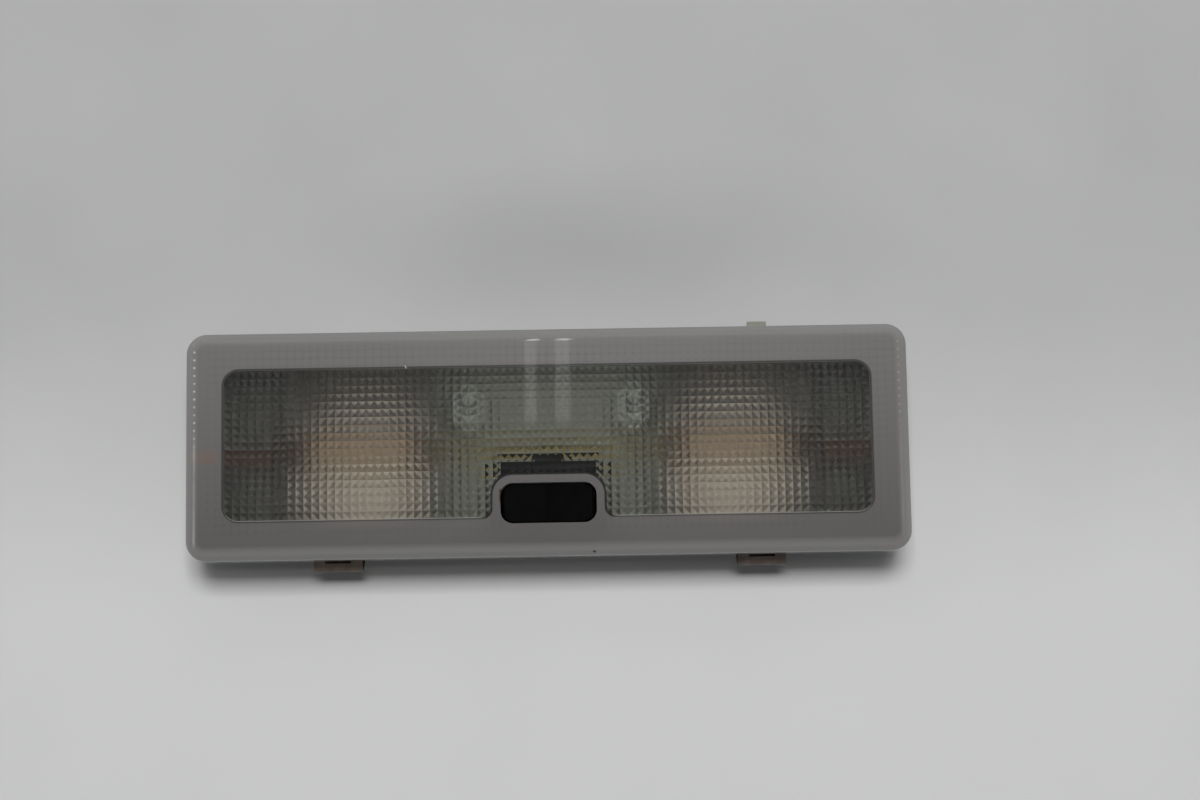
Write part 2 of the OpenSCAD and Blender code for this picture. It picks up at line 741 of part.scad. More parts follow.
// Spring clip, with its hook outside the housing wall
module clip(side) color([0.2, 0.17, 0.15]) translate([side * grip_x - clip_w / 2, 0, 0]) {
    foot_z = 4.5 - tray_depth;
    hook_z = -headliner_t - 4;
    tip_in = 3;
    nib_hole = nib + 2 * hole_gap;
    notch_l = 0.54 * clip_w;
    notch_d = 1.2;
    path = [[clip_leg_y, side_top], [clip_leg_y, foot_z], [clip_leg_y - clip_bend, foot_z - clip_bend],
        [clip_leg_y - 2 * clip_bend, foot_z], [clip_out_y, hook_z], [clip_out_y, hook_z + clip_bend],
        [clip_out_y + tip_in, side_top]];
    difference() {
        rotate([90, 0, 90]) linear_extrude(clip_w) strip_outline(path, clip_t);
        translate([clip_w / 2, clip_leg_y, nib_z]) cube([nib_hole, tip_in, nib_hole], center = true);
        block([(clip_w - notch_l) / 2, clip_out_y + tip_in - notch_d, hook_z + clip_bend],
            [(clip_w + notch_l) / 2, clip_out_y + tip_in + over, side_top + over]);
    }
}

// Oval tube on the platform, below the lens
module lens_stud(side) color([0.85, 0.86, 0.84]) translate([side * stud_x + stud_shift, stud_y, 0]) {
    foot = seat_gap - platform_z;
    bore_foot = 1.5;
    stud_t = 1.4;
    end_r = stud_w / 2 - 0.01;
    difference() {
        plate(stud_w, stud_l, end_r, foot, prism_tip_z - stud_gap);
        plate(stud_w - 2 * stud_t, stud_l - 2 * stud_t, end_r - stud_t, foot + bore_foot, lens_h);
    }
}

// Connector blade that stands through the platform into the socket
module terminal(place) color([0.78, 0.64, 0.3]) translate([place * blade_pitch, shroud_y, 0]) {
    tip = 0.8;
    root = -platform_z - wall - seat_gap;
    translate([0, blade_t / 2, 0]) rotate([90, 0, 0]) linear_extrude(blade_t) polygon([
        [tip - blade_w / 2, blade_end], [blade_w / 2 - tip, blade_end], [blade_w / 2, blade_end + tip],
        [blade_w / 2, root], [-blade_w / 2, root], [-blade_w / 2, blade_end + tip]]);
}

lens();
housing();
reflector(-1);  // reflector_left
reflector(1);  // reflector_right
bulb_glass(-1);  // bulb_glass_left
bulb_glass(1);  // bulb_glass_right
bulb_caps(-1);  // bulb_caps_left
bulb_caps(1);  // bulb_caps_right
filament(-1);  // filament_left
filament(1);  // filament_right
feed_strip();
earth_strip(-1, rim_l / 2 - wall - rib_gap);  // earth_strip_left
earth_strip(1, rib_end_x + 1);  // earth_strip_right
switch_body();
rocker();
contact_plunger();
plunger_spring();
switch_contact(-1);  // door_contact
switch_contact(0);  // off_contact
switch_contact(1);  // on_contact
clip(-1);  // clip_left
clip(1);  // clip_right
lens_stud(-1);  // lens_stud_left
lens_stud(1);  // lens_stud_right
terminal(-1);  // terminal_supply
terminal(0);  // terminal_door
terminal(1);  // terminal_earth
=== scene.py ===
"""Looks of an oblong interior light, lying on its back on a pale sheet.

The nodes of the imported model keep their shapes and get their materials. The lens is a merged copy of its
node with three finishes. The sheet, the overhead tubes, the lamps and the camera are the stage.
"""

import json
from math import hypot, pi, radians

import bpy
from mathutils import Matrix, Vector


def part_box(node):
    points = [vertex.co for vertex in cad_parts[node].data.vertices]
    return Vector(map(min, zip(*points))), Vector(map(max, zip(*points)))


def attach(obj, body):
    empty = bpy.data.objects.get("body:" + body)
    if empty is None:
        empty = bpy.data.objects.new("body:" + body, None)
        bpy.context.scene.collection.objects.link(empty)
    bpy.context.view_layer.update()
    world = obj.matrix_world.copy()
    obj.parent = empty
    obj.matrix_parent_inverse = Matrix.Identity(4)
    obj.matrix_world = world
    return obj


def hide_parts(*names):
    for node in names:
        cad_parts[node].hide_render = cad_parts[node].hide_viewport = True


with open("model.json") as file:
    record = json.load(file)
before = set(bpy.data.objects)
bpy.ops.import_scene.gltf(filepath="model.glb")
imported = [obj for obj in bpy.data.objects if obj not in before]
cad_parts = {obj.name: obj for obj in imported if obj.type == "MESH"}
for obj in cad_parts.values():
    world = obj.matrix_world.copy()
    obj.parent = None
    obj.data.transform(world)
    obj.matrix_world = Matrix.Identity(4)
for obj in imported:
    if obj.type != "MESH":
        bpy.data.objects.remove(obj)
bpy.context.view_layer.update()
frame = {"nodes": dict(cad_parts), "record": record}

MM = 0.001

# Camera: a 68 mm lens on a 36 mm wide picture, about 0.6 m over the light and turned by small angles
CAMERA_PLACE = (10.0 * MM, -62.3 * MM, 607.2 * MM)
CAMERA_LENS = 68.04
CAMERA_SENSOR = 36
CAMERA_TURN = (radians(6.975), radians(-0.383), radians(-0.943))

# Even sky, a softbox and a panel on the far side: places and sizes in metres, powers in watts. Only the
# open share of the softbox is seen bent through the prisms, since more of it would veil the inside
SKY_TONE, SKY_STRENGTH = "#F4F6FA", 0.15
SOFTBOX_PLACE, SOFTBOX_SIZE = (0.02, 0.24, 1.35), (0.35, 0.28)
SOFTBOX_OPEN, SOFTBOX_SCREENED = 1.8, 15.7
PANEL_PLACE, PANEL_SIZE, PANEL_POWER = (0.0, 0.9, 1.0), (1.6, 0.5), 0.8

# Two louvred tubes overhead, each as x, width and glow, which run away from the camera. Their far part,
# which only the rounded edge of the lens mirrors, is the brighter one
TUBES = ((-25.7 * MM, 7.5 * MM, 2.5), (-4.5 * MM, 10 * MM, 2.3))
TUBE_Z = 0.9
TUBE_NEAR, TUBE_END = 0.101, 0.42
TUBE_STARTS = {"From Min": TUBE_NEAR, "From Max": TUBE_NEAR + 8 * MM}
TUBE_GROWS = {"From Min": 0.165, "From Max": TUBE_END}
TUBE_END_GAIN = 9.0
LOUVRE_PITCH, LOUVRE_LOW, LOUVRE_DIMMED = 2.62 * MM, -0.6, 0.2

# Painted shade on the pale sheet: darker towards the far side, and a painted shadow in an oval behind the
# light
SHEET_SIZE = 6.0
SHEET_FAR_SHADE = {"From Min": -55 * MM, "From Max": 60 * MM}
SHADOW_MIDDLE, SHADOW_HALF = (14 * MM, 58 * MM), (100 * MM, 31.25 * MM)
SHADOW_SHARE = {"To Min": 0.4, "To Max": 0.0}

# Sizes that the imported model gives
LENS_LOW, LENS_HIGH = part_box("lens")
LENS_SIZE = (LENS_HIGH - LENS_LOW).xy
FLOOR_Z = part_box("housing")[0].z

# Sizes of the lens face, as in the part's source
LENS_R = 5.5 * MM
WINDOW_SIZE, WINDOW_R = (171.2 * MM, 39.8 * MM), 4 * MM
RING_TOP, RING_FOOT = -8.35 * MM, -40 * MM
RING_SIZE, RING_R = (30.6 * MM, RING_TOP - RING_FOOT), 5.9 * MM
FOOT_R = 2.2 * MM
PRISMS_X, PRISMS_Y = 82, 19
PRISM_DX, PRISM_DY = WINDOW_SIZE[0] / PRISMS_X, WINDOW_SIZE[1] / PRISMS_Y

# Finishes of the lens, in the order of its material slots. The border is its front, its rounded edge and
# its thin skirt. The prisms lie deeper, and the few rows of them over the switch are polished as the
# window is. Front faces are shaded flat
WINDOW, BORDER, PRISMS = range(3)
FRONT_DEPTH = 0.1 * MM
EDGE_REACH = 3.6 * MM
EDGE_LEAST_NORMAL = -0.2
SKIRT = 1 * MM
PRISM_DEPTH = 1 * MM
POLISHED_X, POLISHED_Y = 18 * MM, (-10 * MM, -2 * MM)
FLAT_NORMAL = 0.9999

# Bands of tone on the border, each as from, to and softness. By distance outside the window's outline:
PRISM_ENDS = (0.8 * MM, 5 * MM, 0.8 * MM)
# The step's line and the ring's line are painted shade, the step's glint a painted highlight
STEP_SHADE = (0.05 * MM, 0.55 * MM, 0.12 * MM)
STEP_GLINT = (-0.3 * MM, 0.15 * MM, 0.08 * MM)
RING_SHADE = (-0.5 * MM, 0.45 * MM, 0.1 * MM)
# By distance outside the lens:
PALE_EDGE = (-2.6 * MM, 1 * MM, 1.2 * MM)
# By x and y for the painted glints at both ends, and by y for the copper strip:
GLINT_COLUMN = (LENS_SIZE.x / 2 - 2.9 * MM, LENS_SIZE.x / 2 - 2.35 * MM, 0.15 * MM)
GLINT_ROWS = (-LENS_SIZE.y / 2 + 4 * MM, LENS_SIZE.y / 2 - 4 * MM, 1 * MM)
STRIP_ACROSS = (-4.6 * MM, -1.2 * MM, 0.5 * MM)

# Soft changes on the border: the x, y or distances from the ring between which each happens, and its shares
FAR_SIDE_LIGHT = {"From Min": LENS_LOW.y, "From Max": LENS_HIGH.y}
NEAR_SIDE = {"From Min": -18 * MM, "From Max": -19 * MM}
GLINT_PART = {"From Min": -2 * MM, "From Max": 6 * MM, "To Min": 0.3}
GLINTS_LEFT_TO_RIGHT = {"From Min": -1 * MM, "From Max": 1 * MM, "To Min": 0.9, "To Max": 0.25}
STRIP_END = {"From Min": -86 * MM, "From Max": -88 * MM, "To Max": 0.2}
AT_RING = {"From Min": 1.5 * MM, "From Max": 2.5 * MM, "To Min": 1.0, "To Max": 0.0}
BESIDE_RING = {"From Min": 2 * MM, "From Max": 3 * MM}
SWITCH_SHADE = {"From Max": 12 * MM, "To Min": 0.1, "To Max": 0.0}

# Marks of wear, and painted shade in a gap: tone, slope, then x and y as from, to and softness in mm
WEAR_AND_GAP_SHADE = (
    # Painted shade in the gap beside the rocker, tinted by the copper that shows there
    ("#3A1C08", 0.0, (-12.95, -12.3, 0.1), (-16.0, -12.6, 0.3)),
    # White scratch at the window's far edge
    ("#C2C2C0", 0.5, (-27.35, -27.1, 0.08), (19.5, 20.7, 0.1)),
    # Dark chip in the near edge of the lens
    ("#242220", 0.0, (11.5, 12.3, 0.15), (-29.6, -29.1, 0.1)),
)

# Tray of the housing, as distances from its middle and its height, each as from, to and softness
TRAY_ACROSS = (-1 * MM, 23.2 * MM, 0.3 * MM)
TRAY_MIDDLE = (-1 * MM, 60 * MM, 0.3 * MM)
TRAY_SHADED_ENDS = (60 * MM, 88.9 * MM, 0.3 * MM)
TRAY_HEIGHT = (-19.2 * MM, 6 * MM, 0.3 * MM)

# Painted pool of light on each reflector, as an oval, and the square of the distance from its middle where
# all is in painted shade
LIT_MIDDLE, LIT_HALF = (49.5 * MM, -7 * MM), (20.5 * MM, 20 * MM)
SHADE_END = {"From Max": 1.3}

# Nearly all values of Blender's noise lie between these
NOISE_SPAN = {"From Min": 0.3, "From Max": 0.7}

# Doubles nearer than this are merged, and edges up to this angle are shaded smooth
MERGE = 0.002 * MM
SMOOTH_ANGLE = radians(24)


def linear(code):
    """Linear colour of an sRGB hex code."""
    parts = [int(code[i:i + 2], 16) / 255 for i in (1, 3, 5)]
    return *(p / 12.92 if p <= 0.04045 else ((p + 0.055) / 1.055) ** 2.4 for p in parts), 1.0


def add(tree, kind, links=None, **settings):
    """Adds one node: links maps its inputs to nodes, for their first output, to sockets or to values."""
    made = tree.nodes.new("ShaderNode" + kind)
    for name, value in settings.items():
        setattr(made, name, value)
    for key, value in (links or {}).items():
        if isinstance(value, bpy.types.Node):
            value = value.outputs[0]
        if isinstance(value, bpy.types.NodeSocket):
            tree.links.new(value, made.inputs[key])
        else:
            made.inputs[key].default_value = value
    return made


def blank(name):
    """New material with an empty node tree."""
    material = bpy.data.materials.new(name)
    material.use_nodes = True
    material.node_tree.nodes.clear()
    return material, material.node_tree


def object_place(tree):
    """Place on the object in metres, as one vector and as its x, y and z."""
    place = add(tree, "TexCoord").outputs["Object"]
    return place, *add(tree, "SeparateXYZ", {"Vector": place}).outputs


def clouds(tree, size):
    """Noise on the object, with clouds of a real size in metres."""
    return add(tree, "TexNoise", {"Vector": add(tree, "TexCoord").outputs["Object"], "Scale": 1 / size})


def speckle(tree, size, low, high):
    """Share that wanders between two values in clouds of a real size."""
    return add(tree, "MapRange", {"Value": clouds(tree, size), **NOISE_SPAN, "To Min": low, "To Max": high})


def layered(tree, code, *layers):
    """Colour with tones laid over it one after another, each given as its share and its hex code."""
    colour = linear(code)
    for share, tone in layers:
        colour = add(tree, "MixRGB", {"Fac": share, "Color1": colour, "Color2": linear(tone)})
    return colour


def band(tree, value, low, high, soft, peak=1.0):
    """Peak where a value lies between two others and 0 elsewhere, with soft ends."""
    rise = add(tree, "MapRange", {"Value": value, "From Min": low - soft, "From Max": low + soft,
                                  "To Max": peak})
    return add(tree, "MapRange", {"Value": value, "From Min": high - soft, "From Max": high + soft,
                                  "To Min": rise, "To Max": 0.0})


def comb(tree, coordinate, pitch, low, peak=1.0):
    """Soft ridges up to a peak, at a real pitch along one coordinate: a cosine cut off at a low value."""
    turn = add(tree, "Math", {0: coordinate, 1: 2 * pi / pitch}, operation="MULTIPLY")
    wave = add(tree, "Math", {0: turn}, operation="COSINE")
    return add(tree, "MapRange", {"Value": wave, "From Min": low, "To Max": peak})


def oval(tree, place, middle, half):
    """How far out a place lies from the middle of an oval, 1 on its edge."""
    moved = add(tree, "VectorMath", {0: place, 1: (*middle, 0.0)}, operation="SUBTRACT")
    scale = (1 / half[0], 1 / half[1], 0.0)
    scaled = add(tree, "VectorMath", {0: moved, 1: scale}, operation="MULTIPLY")
    return add(tree, "VectorMath", {0: scaled}, operation="LENGTH").outputs["Value"]


def rounded_meeting(tree, first, second, radius):
    """Distance outside what lies inside two edges, with the corner where they meet rounded."""
    pair = add(tree, "CombineXYZ", {"X": first, "Y": second})
    shifted = add(tree, "VectorMath", {0: pair, 1: (radius, radius, 0.0)}, operation="ADD")
    past = add(tree, "VectorMath", {0: shifted, 1: (0.0, 0.0, 0.0)}, operation="MAXIMUM")
    corner = add(tree, "VectorMath", {0: past}, operation="LENGTH").outputs["Value"]
    further = add(tree, "Math", {0: first, 1: second}, operation="MAXIMUM")
    inside = add(tree, "Math", {0: further, 1: -radius}, operation="MINIMUM")
    return add(tree, "Math", {0: inside, 1: corner}, operation="ADD")


def outline_distance(tree, x, y, size, radius):
    """Distance outside a rounded rectangle, less than 0 inside it."""
    sides = []
    for coordinate, length in zip((x, y), size):
        from_middle = add(tree, "Math", {0: coordinate}, operation="ABSOLUTE")
        sides.append(add(tree, "Math", {0: from_middle, 1: length / 2}, operation="SUBTRACT"))
    return rounded_meeting(tree, *sides, radius)


def finish_opaque(tree, colour, rough, uneven, grain, depth, metallic=0.0, specular=0.5):
    """Opaque finish: roughness between two values in uneven patches, and a grain of a real depth.

    Grains of moulded, drawn and rolled faces are too fine to show, so they are drawn coarser than real.
    """
    relief = add(tree, "Bump", {"Height": clouds(tree, grain), "Distance": depth, "Strength": 1.0})
    shader = add(tree, "BsdfPrincipled", {
        "Base Color": colour, "Metallic": metallic, "Specular IOR Level": specular,
        "Roughness": speckle(tree, uneven, *rough), "Normal": relief})
    add(tree, "OutputMaterial", {"Surface": shader})


def finish_clear(tree, shader, tint):
    """Clear finish: shadow and diffuse rays pass it straight, so that what is inside is lit through it."""
    rays = add(tree, "LightPath").outputs
    straight = add(tree, "Math", {0: rays["Is Shadow Ray"], 1: rays["Is Diffuse Ray"]}, operation="MAXIMUM")
    tinted = add(tree, "BsdfTransparent", {"Color": linear(tint)})
    add(tree, "OutputMaterial", {"Surface": add(tree, "MixShader", {0: straight, 1: shader, 2: tinted})})


def surface(name, tones, patch, grain, depth, rough, **finish):
    """Opaque material in two tones that lie in patches."""
    material, tree = blank(name)
    colour = layered(tree, tones[0], (speckle(tree, patch, low=0.0, high=1.0), tones[1]))
    finish_opaque(tree, colour, rough, patch / 2, grain, depth, **finish)
    return material


def filmed_glass(name, tint, rough, ior, film, share, passing):
    """Clear material under a thin film of dust or soot, with a tint for the light that passes it."""
    material, tree = blank(name)
    clear = add(tree, "BsdfPrincipled", {
        "Base Color": linear(tint), "Roughness": rough, "IOR": ior, "Transmission Weight": 1.0})
    dust = add(tree, "BsdfDiffuse", {"Color": linear(film)})
    finish_clear(tree, add(tree, "MixShader", {0: share, 1: clear, 2: dust}), passing)
    return material


def clear_acrylic(name, rough):
    """Clear acrylic, injection moulded, with a faint grey cast and a thin film of dust."""
    return filmed_glass(name, "#F2F3F1", rough, ior=1.49, film="#6E6E6B", share=0.02, passing="#E7E8E6")


def prism_layers(tree, x, y, to_window):
    """Prisms that show through the milky border: a faint grid, and the ends of rows beside the window."""
    spots = speckle(tree, 14 * MM, low=0.0, high=0.22)
    lines_x = comb(tree, x, PRISM_DX, low=0.4, peak=spots)
    lines_y = comb(tree, y, PRISM_DY, low=0.4, peak=spots)
    grid = add(tree, "Math", {0: lines_x, 1: lines_y}, operation="MAXIMUM")
    beside_window = band(tree, to_window, *PRISM_ENDS, peak=speckle(tree, 20 * MM, low=0.03, high=0.2))
    rows = comb(tree, y, PRISM_DY, low=-0.2, peak=beside_window)
    cells = comb(tree, x, PRISM_DX, low=-0.2, peak=rows)
    return (grid, "#5E5D5B"), (cells, "#3E3D3C")


def glint_dot_layer(tree, x, y):
    """Painted glints: bright dots at both ends, one where each row of prisms ends, and fainter ones on the
    right.
    """
    peaks = comb(tree, y, PRISM_DY, low=0.5)
    rows = band(tree, y, *GLINT_ROWS, peak=add(tree, "MapRange", {"Value": y, **GLINT_PART, "To Max": peaks}))
    from_middle = add(tree, "Math", {0: x}, operation="ABSOLUTE")
    dots = band(tree, from_middle, *GLINT_COLUMN, peak=rows)
    side = add(tree, "MapRange", {"Value": x, **GLINTS_LEFT_TO_RIGHT})
    strength = add(tree, "Math", {0: side, 1: speckle(tree, 6 * MM, low=0.35, high=1.0)},
                   operation="MULTIPLY")
    return add(tree, "Math", {0: dots, 1: strength}, operation="MULTIPLY"), "#E4E2DE"


def step_shade_and_glint_layers(tree, y, to_window, to_ring):
    """Moulded step round the window: a dark line of painted shade, darker along the ring, with a painted
    glint on the near side.
    """
    at_ring = add(tree, "MapRange", {"Value": to_ring, **AT_RING})
    beside_ring = add(tree, "MapRange", {"Value": to_ring, **BESIDE_RING})
    near_side = add(tree, "MapRange", {"Value": y, **NEAR_SIDE, "To Max": beside_ring})
    return (
        (band(tree, to_window, *STEP_SHADE), "#3A3A38"),
        (band(tree, to_window, *RING_SHADE, peak=at_ring), "#141413"),
        (band(tree, to_window, *STEP_GLINT, peak=near_side), "#8F8E8A"))


def wear_and_gap_shade_layers(tree, x, y):
    """Small marks of use, and painted shade in the gap beside the rocker."""
    layers = []
    for tone, slope, across, along in WEAR_AND_GAP_SHADE:
        slanted = add(tree, "Math", {0: y, 1: slope, 2: x}, operation="MULTIPLY_ADD")
        row = band(tree, y, *(v * MM for v in along))
        layers.append((band(tree, slanted, *(v * MM for v in across), peak=row), tone))
    return layers


def acrylic_border_painted_light():
    """The same acrylic with a smoke grey, milky body behind a polished face, with painted light, shade and
    glints in its tones.
    """
    material, tree = blank("acrylic_border_painted_light")
    _, x, y, _ = object_place(tree)
    from_ring = add(tree, "Math", {0: y, 1: (RING_TOP + RING_FOOT) / 2}, operation="SUBTRACT")
    to_ring = outline_distance(tree, x, from_ring, RING_SIZE, RING_R)
    into_ring = add(tree, "Math", {0: to_ring, 1: -1.0}, operation="MULTIPLY")
    to_oblong = outline_distance(tree, x, y, WINDOW_SIZE, WINDOW_R)
    to_window = rounded_meeting(tree, to_oblong, into_ring, FOOT_R)
    to_rim = outline_distance(tree, x, y, LENS_SIZE, LENS_R)
    strip_end = add(tree, "MapRange", {"Value": x, **STRIP_END})
    body = layered(
        tree, "#5C5958",
        # Painted light: the border lighter towards the far side, where the lamps stand
        (add(tree, "MapRange", {"Value": y, **FAR_SIDE_LIGHT}), "#767473"),
        *prism_layers(tree, x, y, to_window),
        # Painted shade round the ring, where the dark switch lies under it, and the copper strip under the
        # left end
        (add(tree, "MapRange", {"Value": to_ring, **SWITCH_SHADE}), "#3E3C3B"),
        (band(tree, y, *STRIP_ACROSS, peak=strip_end), "#8A6450"),
        # The rounded edge, pale where it catches the light
        (band(tree, to_rim, *PALE_EDGE, peak=0.8), "#8E8D8B"),
        glint_dot_layer(tree, x, y),
        *step_shade_and_glint_layers(tree, y, to_window, to_ring),
        *wear_and_gap_shade_layers(tree, x, y))
    milky = add(tree, "BsdfPrincipled", {"Base Color": body, "Roughness": 0.025, "IOR": 1.49})
    smoke = add(tree, "BsdfPrincipled", {
        "Base Color": linear("#B9B8B4"), "Roughness": 0.25, "IOR": 1.49, "Transmission Weight": 1.0})
    finish_clear(tree, add(tree, "MixShader", {0: 0.15, 1: milky, 2: smoke}), "#A0A09E")
    return material


def sheet_with_painted_shade():
    """Matt pale sheet, with painted shade that falls off in tone towards the far side and a slight painted
    shadow behind the light.
    """
    material, tree = blank("sheet_with_painted_shade")
    place, _, y, _ = object_place(tree)
    out = oval(tree, place, SHADOW_MIDDLE, SHADOW_HALF)
    far = add(tree, "MapRange", {"Value": y, **SHEET_FAR_SHADE}, interpolation_type="SMOOTHSTEP")
    painted_shadow = add(tree, "MapRange", {"Value": out, **SHADOW_SHARE}, interpolation_type="SMOOTHSTEP")
    fibre = speckle(tree, 60 * MM, low=0.0, high=0.04)
    tone = layered(tree, "#C8C8C8", (far, "#ACACAC"), (painted_shadow, "#8C8C8C"), (fibre, "#FFFFFF"))
    shader = add(tree, "BsdfPrincipled", {"Base Color": tone, "Roughness": 0.9, "Specular IOR Level": 0.1})
    add(tree, "OutputMaterial", {"Surface": shader})
    return material


def reflector_painted_light():
    """Satin aluminium sheet, warm in patches, with a painted pool of light under each bulb and painted shade
    outside it.
    """
    material, tree = blank("aluminium_painted_light")
    _, x, y, _ = object_place(tree)
    folded = add(tree, "CombineXYZ", {"X": add(tree, "Math", {0: x}, operation="ABSOLUTE"), "Y": y})
    out = oval(tree, folded, LIT_MIDDLE, LIT_HALF)
    out_squared = add(tree, "Math", {0: out, 1: out}, operation="MULTIPLY")
    # Painted shade on the reflector outside its painted pool of light
    dull = add(tree, "MapRange", {"Value": out_squared, **SHADE_END}, interpolation_type="SMOOTHSTEP")
    warm = speckle(tree, 7 * MM, low=0.0, high=0.3)
    colour = layered(tree, "#F3E8DC", (warm, "#DACBBC"), (dull, "#6B6561"))
    finish_opaque(
        tree, colour, rough=(0.45, 0.55), uneven=5 * MM, grain=3 * MM, depth=0.01 * MM, metallic=0.3)
    return material


def housing_with_painted_shade():
    """Grey green ABS with a fine spark-eroded grain, darker in the tray, with painted shade in the tray's
    ends.
    """
    material, tree = blank("abs_housing")
    _, x, y, z = object_place(tree)
    from_middle, from_centre_line = (add(tree, "Math", {0: v}, operation="ABSOLUTE") for v in (x, y))
    in_tray = band(tree, from_centre_line, *TRAY_ACROSS, peak=band(tree, z, *TRAY_HEIGHT))
    colour = layered(
        tree, "#8A8B81",
        (speckle(tree, 25 * MM, low=0.0, high=1.0), "#82847A"),
        (band(tree, from_middle, *TRAY_MIDDLE, peak=in_tray), "#797A71"),
        # Painted shade in the deep ends of the tray
        (band(tree, from_middle, *TRAY_SHADED_ENDS, peak=in_tray), "#605D58"))
    finish_opaque(
        tree, colour, rough=(0.45, 0.6), uneven=12 * MM, grain=0.5 * MM, depth=0.03 * MM)
    return material


def make_materials():
    """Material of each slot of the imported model."""
    return {
        "housing_plastic": housing_with_painted_shade(),
        # Tinned brass caps, browned
        "cap_metal": surface(
            "browned_brass_cap", ("#8E715B", "#745B48"),
            patch=3 * MM, grain=0.8 * MM, depth=0.02 * MM, rough=(0.4, 0.5), metallic=0.7),
        # Drawn tungsten wire, matt dark grey
        "filament_metal": surface(
            "tungsten_wire", ("#6E6E72", "#5A5A5E"),
            patch=1 * MM, grain=0.1 * MM, depth=0.01 * MM, rough=(0.35, 0.5), metallic=1.0),
        # Rolled brass strip with a dull yellow face
        "strip_brass": surface(
            "rolled_brass", ("#9C8E5E", "#867A50"),
            patch=5 * MM, grain=0.4 * MM, depth=0.01 * MM, rough=(0.4, 0.55), metallic=0.6),
        # Tarnished copper strip, orange brown
        "strip_copper": surface(
            "tarnished_copper", ("#573A25", "#492F1E"),
            patch=4 * MM, grain=0.4 * MM, depth=0.01 * MM, rough=(0.4, 0.55), metallic=0.6),
        # Glass filled nylon, black and satin
        "switch_plastic": surface(
            "black_nylon", ("#060606", "#040404"),
            patch=8 * MM, grain=0.3 * MM, depth=0.02 * MM, rough=(0.5, 0.6), specular=0.02),
        # Black ABS with a soft sheen
        "rocker_plastic": surface(
            "black_abs", ("#0A0A0A", "#070707"),
            patch=6 * MM, grain=0.25 * MM, depth=0.01 * MM, rough=(0.6, 0.7), specular=0.1),
        # Bright drawn spring wire
        "spring_steel": surface(
            "spring_wire", ("#A0A0A2", "#8C8C8E"),
            patch=2 * MM, grain=0.2 * MM, depth=0.01 * MM, rough=(0.25, 0.35), metallic=1.0),
        # Spring steel, blued brown and lightly oiled
        "clip_steel": surface(
            "browned_spring_steel", ("#776A60", "#60554D"),
            patch=4 * MM, grain=0.5 * MM, depth=0.02 * MM, rough=(0.4, 0.6), metallic=0.2),
        # Natural nylon, pale and slightly waxy
        "stud_nylon": surface(
            "natural_nylon", ("#A2A49E", "#94968F"),
            patch=6 * MM, grain=0.4 * MM, depth=0.01 * MM, rough=(0.35, 0.45)),
        "reflector_metal": reflector_painted_light(),
        # Soda lime tube glass, browned and fogged by heat
        "bulb_glass": filmed_glass(
            "bulb_glass", "#F4EFE6", rough=0.02, ior=1.5, film="#BAA189", share=0.3, passing="#F3F1EC"),
        "clear_lens": clear_acrylic("acrylic_window", 0.02),
    }


def dress_nodes(materials):
    """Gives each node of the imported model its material."""
    slots = {s["node"]: s["material_slot"] for s in frame["record"]["subparts"]}
    for name, piece in frame["nodes"].items():
        piece.data.materials.clear()
        piece.data.materials.append(materials[slots[name]])


def merged_copy(node, name):
    """Copy of a node's mesh with its loose triangles joined and its round edges shaded smooth."""
    piece = bpy.data.objects.new(name, frame["nodes"][node].data.copy())
    bpy.context.scene.collection.objects.link(piece)
    bpy.ops.object.select_all(action="DESELECT")
    piece.select_set(True)
    bpy.context.view_layer.objects.active = piece
    bpy.ops.mesh.customdata_custom_splitnormals_clear()
    bpy.ops.object.mode_set(mode="EDIT")
    bpy.ops.mesh.select_all(action="SELECT")
    bpy.ops.mesh.remove_doubles(threshold=MERGE)
    bpy.ops.object.mode_set(mode="OBJECT")
    bpy.ops.object.shade_smooth_by_angle(angle=SMOOTH_ANGLE)
    return piece


def lens_finish(face):
    """Finish of one face of the lens: WINDOW, BORDER or PRISMS."""
    x, y, depth = abs(face.center.x), face.center.y, LENS_HIGH.z - face.center.z
    in_x, in_y = LENS_HIGH.x - x, LENS_HIGH.y - abs(y)
    on_edge = face.normal.z > EDGE_LEAST_NORMAL and max(depth, min(in_x, in_y)) < EDGE_REACH
    on_side = hypot(max(LENS_R - in_x, 0), max(LENS_R - in_y, 0)) > LENS_R - SKIRT
    if depth < FRONT_DEPTH or on_edge or on_side:
        return BORDER
    over_switch = x < POLISHED_X and POLISHED_Y[0] < y < POLISHED_Y[1]
    return WINDOW if over_switch or depth < PRISM_DEPTH else PRISMS


def make_lens(window):
    """The lens, with its polished window, milky border and satin prisms as finishes of one moulding."""
    lens = merged_copy("lens", "lens_moulding")
    lens.data.materials.clear()
    for material in (window, acrylic_border_painted_light(), clear_acrylic("acrylic_prisms", 0.4)):
        lens.data.materials.append(material)
    for face in lens.data.polygons:
        face.material_index = lens_finish(face)
        if face.normal.z > FLAT_NORMAL:
            face.use_smooth = False
    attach(lens, "light")
    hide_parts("lens")


def make_stage():
    """Pale sheet under the light."""
    bpy.ops.object.select_all(action="DESELECT")
    bpy.ops.mesh.primitive_plane_add(size=SHEET_SIZE, location=(0, 0, FLOOR_Z))
    floor = bpy.context.object
    floor.name = "floor"
    floor.data.materials.append(sheet_with_painted_shade())


def make_lamp(name, place, size, power):
    """Area lamp at a place, turned to the middle of the object."""
    data = bpy.data.lights.new(name, "AREA")
    data.shape = "RECTANGLE"
    data.size, data.size_y = size
    data.energy = power
    lamp = bpy.data.objects.new(name, data)
    lamp.location = place
    lamp.rotation_euler = (-Vector(place)).to_track_quat("-Z", "Y").to_euler()
    bpy.context.scene.collection.objects.link(lamp)
    return lamp


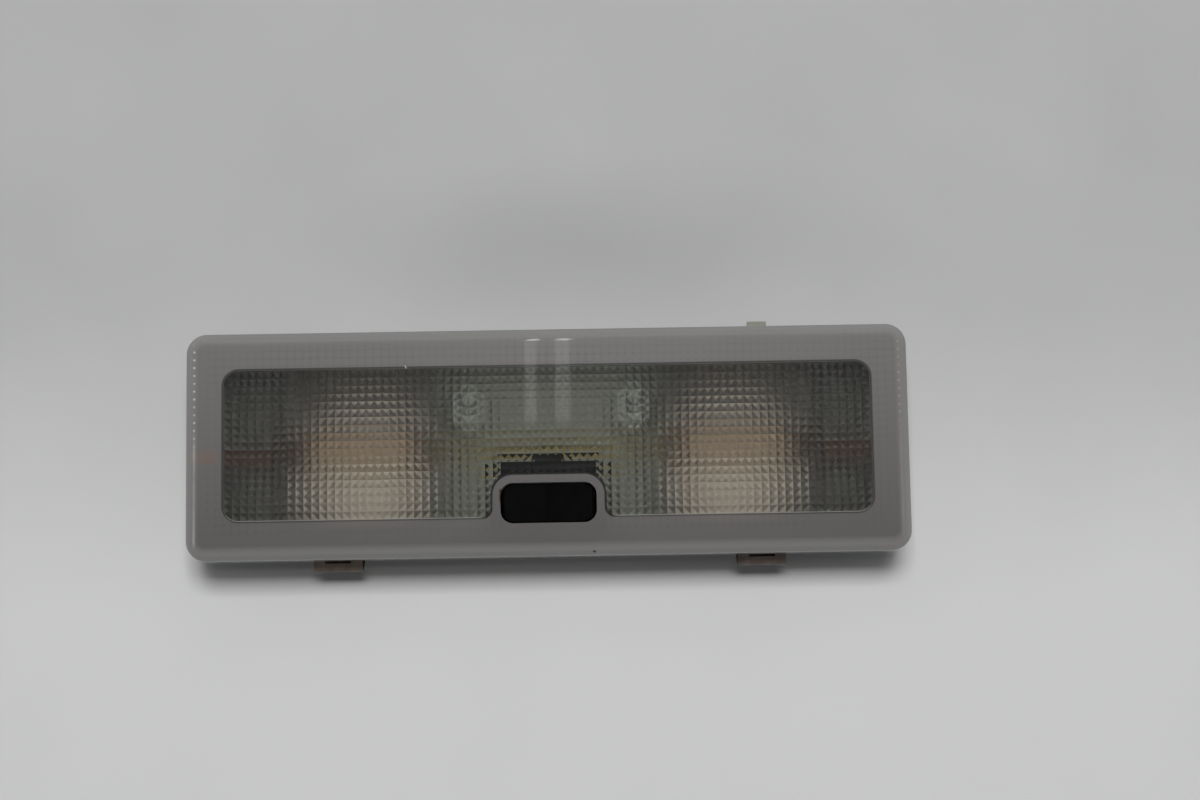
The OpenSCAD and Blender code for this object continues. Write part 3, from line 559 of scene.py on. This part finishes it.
def louvred_tube(glow):
    """Glow behind a louvre, which starts softly and grows towards the far end."""
    material, tree = blank("louvred_tube")
    _, _, y, _ = object_place(tree)
    grown = add(tree, "MapRange", {"Value": y, **TUBE_GROWS, "To Min": glow, "To Max": glow * TUBE_END_GAIN})
    started = add(tree, "MapRange", {"Value": y, **TUBE_STARTS, "To Max": grown})
    gaps = comb(tree, y, LOUVRE_PITCH, LOUVRE_LOW)
    louvre = add(tree, "MapRange", {"Value": gaps, "To Min": LOUVRE_DIMMED})
    strength = add(tree, "Math", {0: started, 1: louvre}, operation="MULTIPLY")
    add(tree, "OutputMaterial", {"Surface": add(tree, "Emission", {"Strength": strength})})
    return material


def make_tube(x, width, glow):
    """Ceiling tube, seen only as a broken streak in the polished lens. Its mesh holds its place."""
    bpy.ops.object.select_all(action="DESELECT")
    bpy.ops.mesh.primitive_plane_add(size=1, location=(0, 0, 0))
    tube = bpy.context.object
    tube.name = "tube"
    for v in tube.data.vertices:
        v.co = (x + v.co.x * width, (TUBE_NEAR + TUBE_END) / 2 + v.co.y * (TUBE_END - TUBE_NEAR), TUBE_Z)
    tube.data.materials.append(louvred_tube(glow))
    tube.visible_camera = False


def make_light():
    """Soft studio light: an even sky, a large soft lamp from the far side, and two thin overhead tubes."""
    world = bpy.data.worlds.new("sky")
    bpy.context.scene.world = world
    world.use_nodes = True
    sky = world.node_tree.nodes["Background"]
    sky.inputs["Color"].default_value = linear(SKY_TONE)
    sky.inputs["Strength"].default_value = SKY_STRENGTH
    # The softbox shades the light but isn't mirrored in the polished lens, as under a tent
    softbox = make_lamp("far_softbox", SOFTBOX_PLACE, SOFTBOX_SIZE, SOFTBOX_OPEN)
    screened = make_lamp("far_softbox_screened", SOFTBOX_PLACE, SOFTBOX_SIZE, SOFTBOX_SCREENED)
    softbox.visible_glossy = screened.visible_glossy = False
    screened.visible_transmission = False
    make_lamp("far_panel", PANEL_PLACE, PANEL_SIZE, PANEL_POWER)
    for x, width, glow in TUBES:
        make_tube(x, width, glow)


def make_camera():
    """Camera at the photograph's place."""
    data = bpy.data.cameras.new("camera")
    data.lens = CAMERA_LENS
    data.sensor_width = CAMERA_SENSOR
    camera = bpy.data.objects.new("camera", data)
    camera.location = CAMERA_PLACE
    camera.rotation_mode = "ZYX"
    camera.rotation_euler = CAMERA_TURN
    bpy.context.scene.collection.objects.link(camera)
    bpy.context.scene.camera = camera


materials = make_materials()
make_camera()
make_light()
make_stage()
dress_nodes(materials)
make_lens(materials["clear_lens"])
bpy.context.scene.view_settings.view_transform = "Standard"
